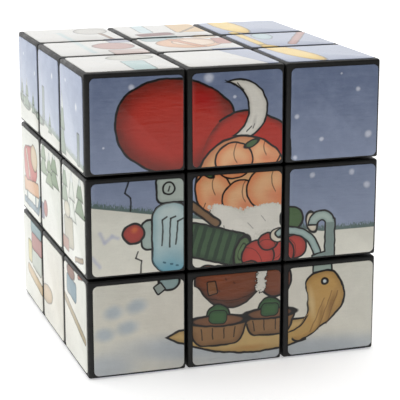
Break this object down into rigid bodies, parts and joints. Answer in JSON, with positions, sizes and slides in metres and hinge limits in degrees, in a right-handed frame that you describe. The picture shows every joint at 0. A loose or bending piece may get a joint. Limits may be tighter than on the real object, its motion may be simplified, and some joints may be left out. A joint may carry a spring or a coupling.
{
  "type": "twisting picture cube puzzle",
  "caption": "Cube puzzle in three layers whose six faces turn on a sprung core, with a picture printed across the tiles of each face.",
  "frame": {"origin": "middle of the cube, where the axes of all six faces meet", "axes": "+X to the right face, +Y to the back face, +Z to the top face; the main picture is on the front face, which looks along -Y"},
  "size_m": [0.0566, 0.0566, 0.0566],
  "materials": {
    "shell_plastic": "satin",
    "inner_plastic": "matte",
    "core_nylon": "matte",
    "screw_steel": "bright zinc"
  },
  "bodies": {
    "core": {"core_spider": "core_nylon", "centre_screw_left": "screw_steel", "centre_screw_front": "screw_steel", "centre_screw_bottom": "screw_steel", "centre_screw_top": "screw_steel", "centre_screw_back": "screw_steel", "centre_screw_right": "screw_steel"},
    "centre_left": {"centre_hub_left": "inner_plastic", "centre_cap_left": "shell_plastic"},
    "centre_front": {"centre_hub_front": "inner_plastic", "centre_cap_front": "shell_plastic"},
    "centre_bottom": {"centre_hub_bottom": "inner_plastic", "centre_cap_bottom": "shell_plastic"},
    "centre_top": {"centre_hub_top": "inner_plastic", "centre_cap_top": "shell_plastic"},
    "centre_back": {"centre_hub_back": "inner_plastic", "centre_cap_back": "shell_plastic"},
    "centre_right": {"centre_hub_right": "inner_plastic", "centre_cap_right": "shell_plastic"},
    "edge_front_left": {"edge_shell_front_left": "shell_plastic", "edge_foot_front_left": "inner_plastic"},
    "edge_bottom_left": {"edge_shell_bottom_left": "shell_plastic", "edge_foot_bottom_left": "inner_plastic"},
    "edge_top_left": {"edge_shell_top_left": "shell_plastic", "edge_foot_top_left": "inner_plastic"},
    "edge_back_left": {"edge_shell_back_left": "shell_plastic", "edge_foot_back_left": "inner_plastic"},
    "edge_bottom_front": {"edge_shell_bottom_front": "shell_plastic", "edge_foot_bottom_front": "inner_plastic"},
    "edge_top_front": {"edge_shell_top_front": "shell_plastic", "edge_foot_top_front": "inner_plastic"},
    "edge_bottom_back": {"edge_shell_bottom_back": "shell_plastic", "edge_foot_bottom_back": "inner_plastic"},
    "edge_top_back": {"edge_shell_top_back": "shell_plastic", "edge_foot_top_back": "inner_plastic"},
    "edge_front_right": {"edge_shell_front_right": "shell_plastic", "edge_foot_front_right": "inner_plastic"},
    "edge_bottom_right": {"edge_shell_bottom_right": "shell_plastic", "edge_foot_bottom_right": "inner_plastic"},
    "edge_top_right": {"edge_shell_top_right": "shell_plastic", "edge_foot_top_right": "inner_plastic"},
    "edge_back_right": {"edge_shell_back_right": "shell_plastic", "edge_foot_back_right": "inner_plastic"},
    "corner_bottom_front_left": {"corner_shell_bottom_front_left": "shell_plastic", "corner_foot_bottom_front_left": "inner_plastic"},
    "corner_top_front_left": {"corner_shell_top_front_left": "shell_plastic", "corner_foot_top_front_left": "inner_plastic"},
    "corner_bottom_back_left": {"corner_shell_bottom_back_left": "shell_plastic", "corner_foot_bottom_back_left": "inner_plastic"},
    "corner_top_back_left": {"corner_shell_top_back_left": "shell_plastic", "corner_foot_top_back_left": "inner_plastic"},
    "corner_bottom_front_right": {"corner_shell_bottom_front_right": "shell_plastic", "corner_foot_bottom_front_right": "inner_plastic"},
    "corner_top_front_right": {"corner_shell_top_front_right": "shell_plastic", "corner_foot_top_front_right": "inner_plastic"},
    "corner_bottom_back_right": {"corner_shell_bottom_back_right": "shell_plastic", "corner_foot_bottom_back_right": "inner_plastic"},
    "corner_top_back_right": {"corner_shell_top_back_right": "shell_plastic", "corner_foot_top_back_right": "inner_plastic"}
  },
  "joints": [
    {"name": "top_turn", "type": "hinge", "parent": "core", "child": "centre_top", "pos_m": [0, 0, 0], "axis": [0, 0, 1], "range_deg": [-405, 360]},
    {"name": "bottom_turn", "type": "hinge", "parent": "core", "child": "centre_bottom", "pos_m": [0, 0, 0], "axis": [0, 0, 1], "range_deg": [-405, 360]},
    {"name": "right_turn", "type": "hinge", "parent": "core", "child": "centre_right", "pos_m": [0, 0, 0], "axis": [1, 0, 0], "range_deg": [-360, 405]},
    {"name": "left_turn", "type": "hinge", "parent": "core", "child": "centre_left", "pos_m": [0, 0, 0], "axis": [1, 0, 0], "range_deg": [-360, 405]},
    {"name": "front_turn", "type": "hinge", "parent": "core", "child": "centre_front", "pos_m": [0, 0, 0], "axis": [0, 1, 0], "range_deg": [-360, 360]},
    {"name": "back_turn", "type": "hinge", "parent": "core", "child": "centre_back", "pos_m": [0, 0, 0], "axis": [0, 1, 0], "range_deg": [-360, 360]},
    {"name": "edge_top_right_turn", "type": "hinge", "parent": "centre_top", "child": "edge_top_right", "pos_m": [0, 0, 0], "axis": [1, 0, 0], "range_deg": [-360, 405]},
    {"name": "edge_top_front_turn", "type": "hinge", "parent": "centre_top", "child": "edge_top_front", "pos_m": [0, 0, 0], "axis": [0, 1, 0], "range_deg": [-360, 360]},
    {"name": "edge_top_left_turn", "type": "hinge", "parent": "centre_top", "child": "edge_top_left", "pos_m": [0, 0, 0], "axis": [1, 0, 0], "range_deg": [-360, 405]},
    {"name": "edge_top_back_turn", "type": "hinge", "parent": "centre_top", "child": "edge_top_back", "pos_m": [0, 0, 0], "axis": [0, 1, 0], "range_deg": [-360, 360]},
    {"name": "corner_top_front_right_turn", "type": "hinge", "parent": "edge_top_right", "child": "corner_top_front_right", "pos_m": [0, 0, 0], "axis": [0, 1, 0], "range_deg": [-360, 360]},
    {"name": "corner_top_front_left_turn", "type": "hinge", "parent": "edge_top_front", "child": "corner_top_front_left", "pos_m": [0, 0, 0], "axis": [1, 0, 0], "range_deg": [-360, 405]},
    {"name": "corner_top_back_left_turn", "type": "hinge", "parent": "edge_top_left", "child": "corner_top_back_left", "pos_m": [0, 0, 0], "axis": [0, 1, 0], "range_deg": [-360, 360]},
    {"name": "corner_top_back_right_turn", "type": "hinge", "parent": "edge_top_back", "child": "corner_top_back_right", "pos_m": [0, 0, 0], "axis": [1, 0, 0], "range_deg": [-360, 405]},
    {"name": "edge_bottom_right_turn", "type": "hinge", "parent": "centre_bottom", "child": "edge_bottom_right", "pos_m": [0, 0, 0], "axis": [1, 0, 0], "range_deg": [-360, 405]},
    {"name": "edge_bottom_front_turn", "type": "hinge", "parent": "centre_bottom", "child": "edge_bottom_front", "pos_m": [0, 0, 0], "axis": [0, 1, 0], "range_deg": [-360, 360]},
    {"name": "edge_bottom_left_turn", "type": "hinge", "parent": "centre_bottom", "child": "edge_bottom_left", "pos_m": [0, 0, 0], "axis": [1, 0, 0], "range_deg": [-360, 405]},
    {"name": "edge_bottom_back_turn", "type": "hinge", "parent": "centre_bottom", "child": "edge_bottom_back", "pos_m": [0, 0, 0], "axis": [0, 1, 0], "range_deg": [-360, 360]},
    {"name": "corner_bottom_front_right_turn", "type": "hinge", "parent": "edge_bottom_right", "child": "corner_bottom_front_right", "pos_m": [0, 0, 0], "axis": [0, 1, 0], "range_deg": [-360, 360]},
    {"name": "corner_bottom_front_left_turn", "type": "hinge", "parent": "edge_bottom_front", "child": "corner_bottom_front_left", "pos_m": [0, 0, 0], "axis": [1, 0, 0], "range_deg": [-360, 405]},
    {"name": "corner_bottom_back_left_turn", "type": "hinge", "parent": "edge_bottom_left", "child": "corner_bottom_back_left", "pos_m": [0, 0, 0], "axis": [0, 1, 0], "range_deg": [-360, 360]},
    {"name": "corner_bottom_back_right_turn", "type": "hinge", "parent": "edge_bottom_back", "child": "corner_bottom_back_right", "pos_m": [0, 0, 0], "axis": [1, 0, 0], "range_deg": [-360, 405]},
    {"name": "edge_front_right_turn", "type": "hinge", "parent": "centre_front", "child": "edge_front_right", "pos_m": [0, 0, 0], "axis": [1, 0, 0], "range_deg": [-360, 405]},
    {"name": "edge_back_right_turn", "type": "hinge", "parent": "centre_right", "child": "edge_back_right", "pos_m": [0, 0, 0], "axis": [0, 1, 0], "range_deg": [-360, 360]},
    {"name": "edge_back_left_turn", "type": "hinge", "parent": "centre_back", "child": "edge_back_left", "pos_m": [0, 0, 0], "axis": [1, 0, 0], "range_deg": [-360, 405]},
    {"name": "edge_front_left_turn", "type": "hinge", "parent": "centre_left", "child": "edge_front_left", "pos_m": [0, 0, 0], "axis": [0, 1, 0], "range_deg": [-360, 360]}
  ],
  "couplings": [
    {"joint": "edge_top_right_turn", "follows": "right_turn", "ratio": 1},
    {"joint": "edge_top_front_turn", "follows": "front_turn", "ratio": 1},
    {"joint": "edge_top_left_turn", "follows": "left_turn", "ratio": 1},
    {"joint": "edge_top_back_turn", "follows": "back_turn", "ratio": 1},
    {"joint": "corner_top_front_right_turn", "follows": "front_turn", "ratio": 1},
    {"joint": "corner_top_front_left_turn", "follows": "left_turn", "ratio": 1},
    {"joint": "corner_top_back_left_turn", "follows": "back_turn", "ratio": 1},
    {"joint": "corner_top_back_right_turn", "follows": "right_turn", "ratio": 1},
    {"joint": "edge_bottom_right_turn", "follows": "right_turn", "ratio": 1},
    {"joint": "edge_bottom_front_turn", "follows": "front_turn", "ratio": 1},
    {"joint": "edge_bottom_left_turn", "follows": "left_turn", "ratio": 1},
    {"joint": "edge_bottom_back_turn", "follows": "back_turn", "ratio": 1},
    {"joint": "corner_bottom_front_right_turn", "follows": "front_turn", "ratio": 1},
    {"joint": "corner_bottom_front_left_turn", "follows": "left_turn", "ratio": 1},
    {"joint": "corner_bottom_back_left_turn", "follows": "back_turn", "ratio": 1},
    {"joint": "corner_bottom_back_right_turn", "follows": "right_turn", "ratio": 1},
    {"joint": "edge_front_right_turn", "follows": "right_turn", "ratio": 1},
    {"joint": "edge_back_right_turn", "follows": "back_turn", "ratio": 1},
    {"joint": "edge_back_left_turn", "follows": "left_turn", "ratio": 1},
    {"joint": "edge_front_left_turn", "follows": "front_turn", "ratio": 1}
  ]
}
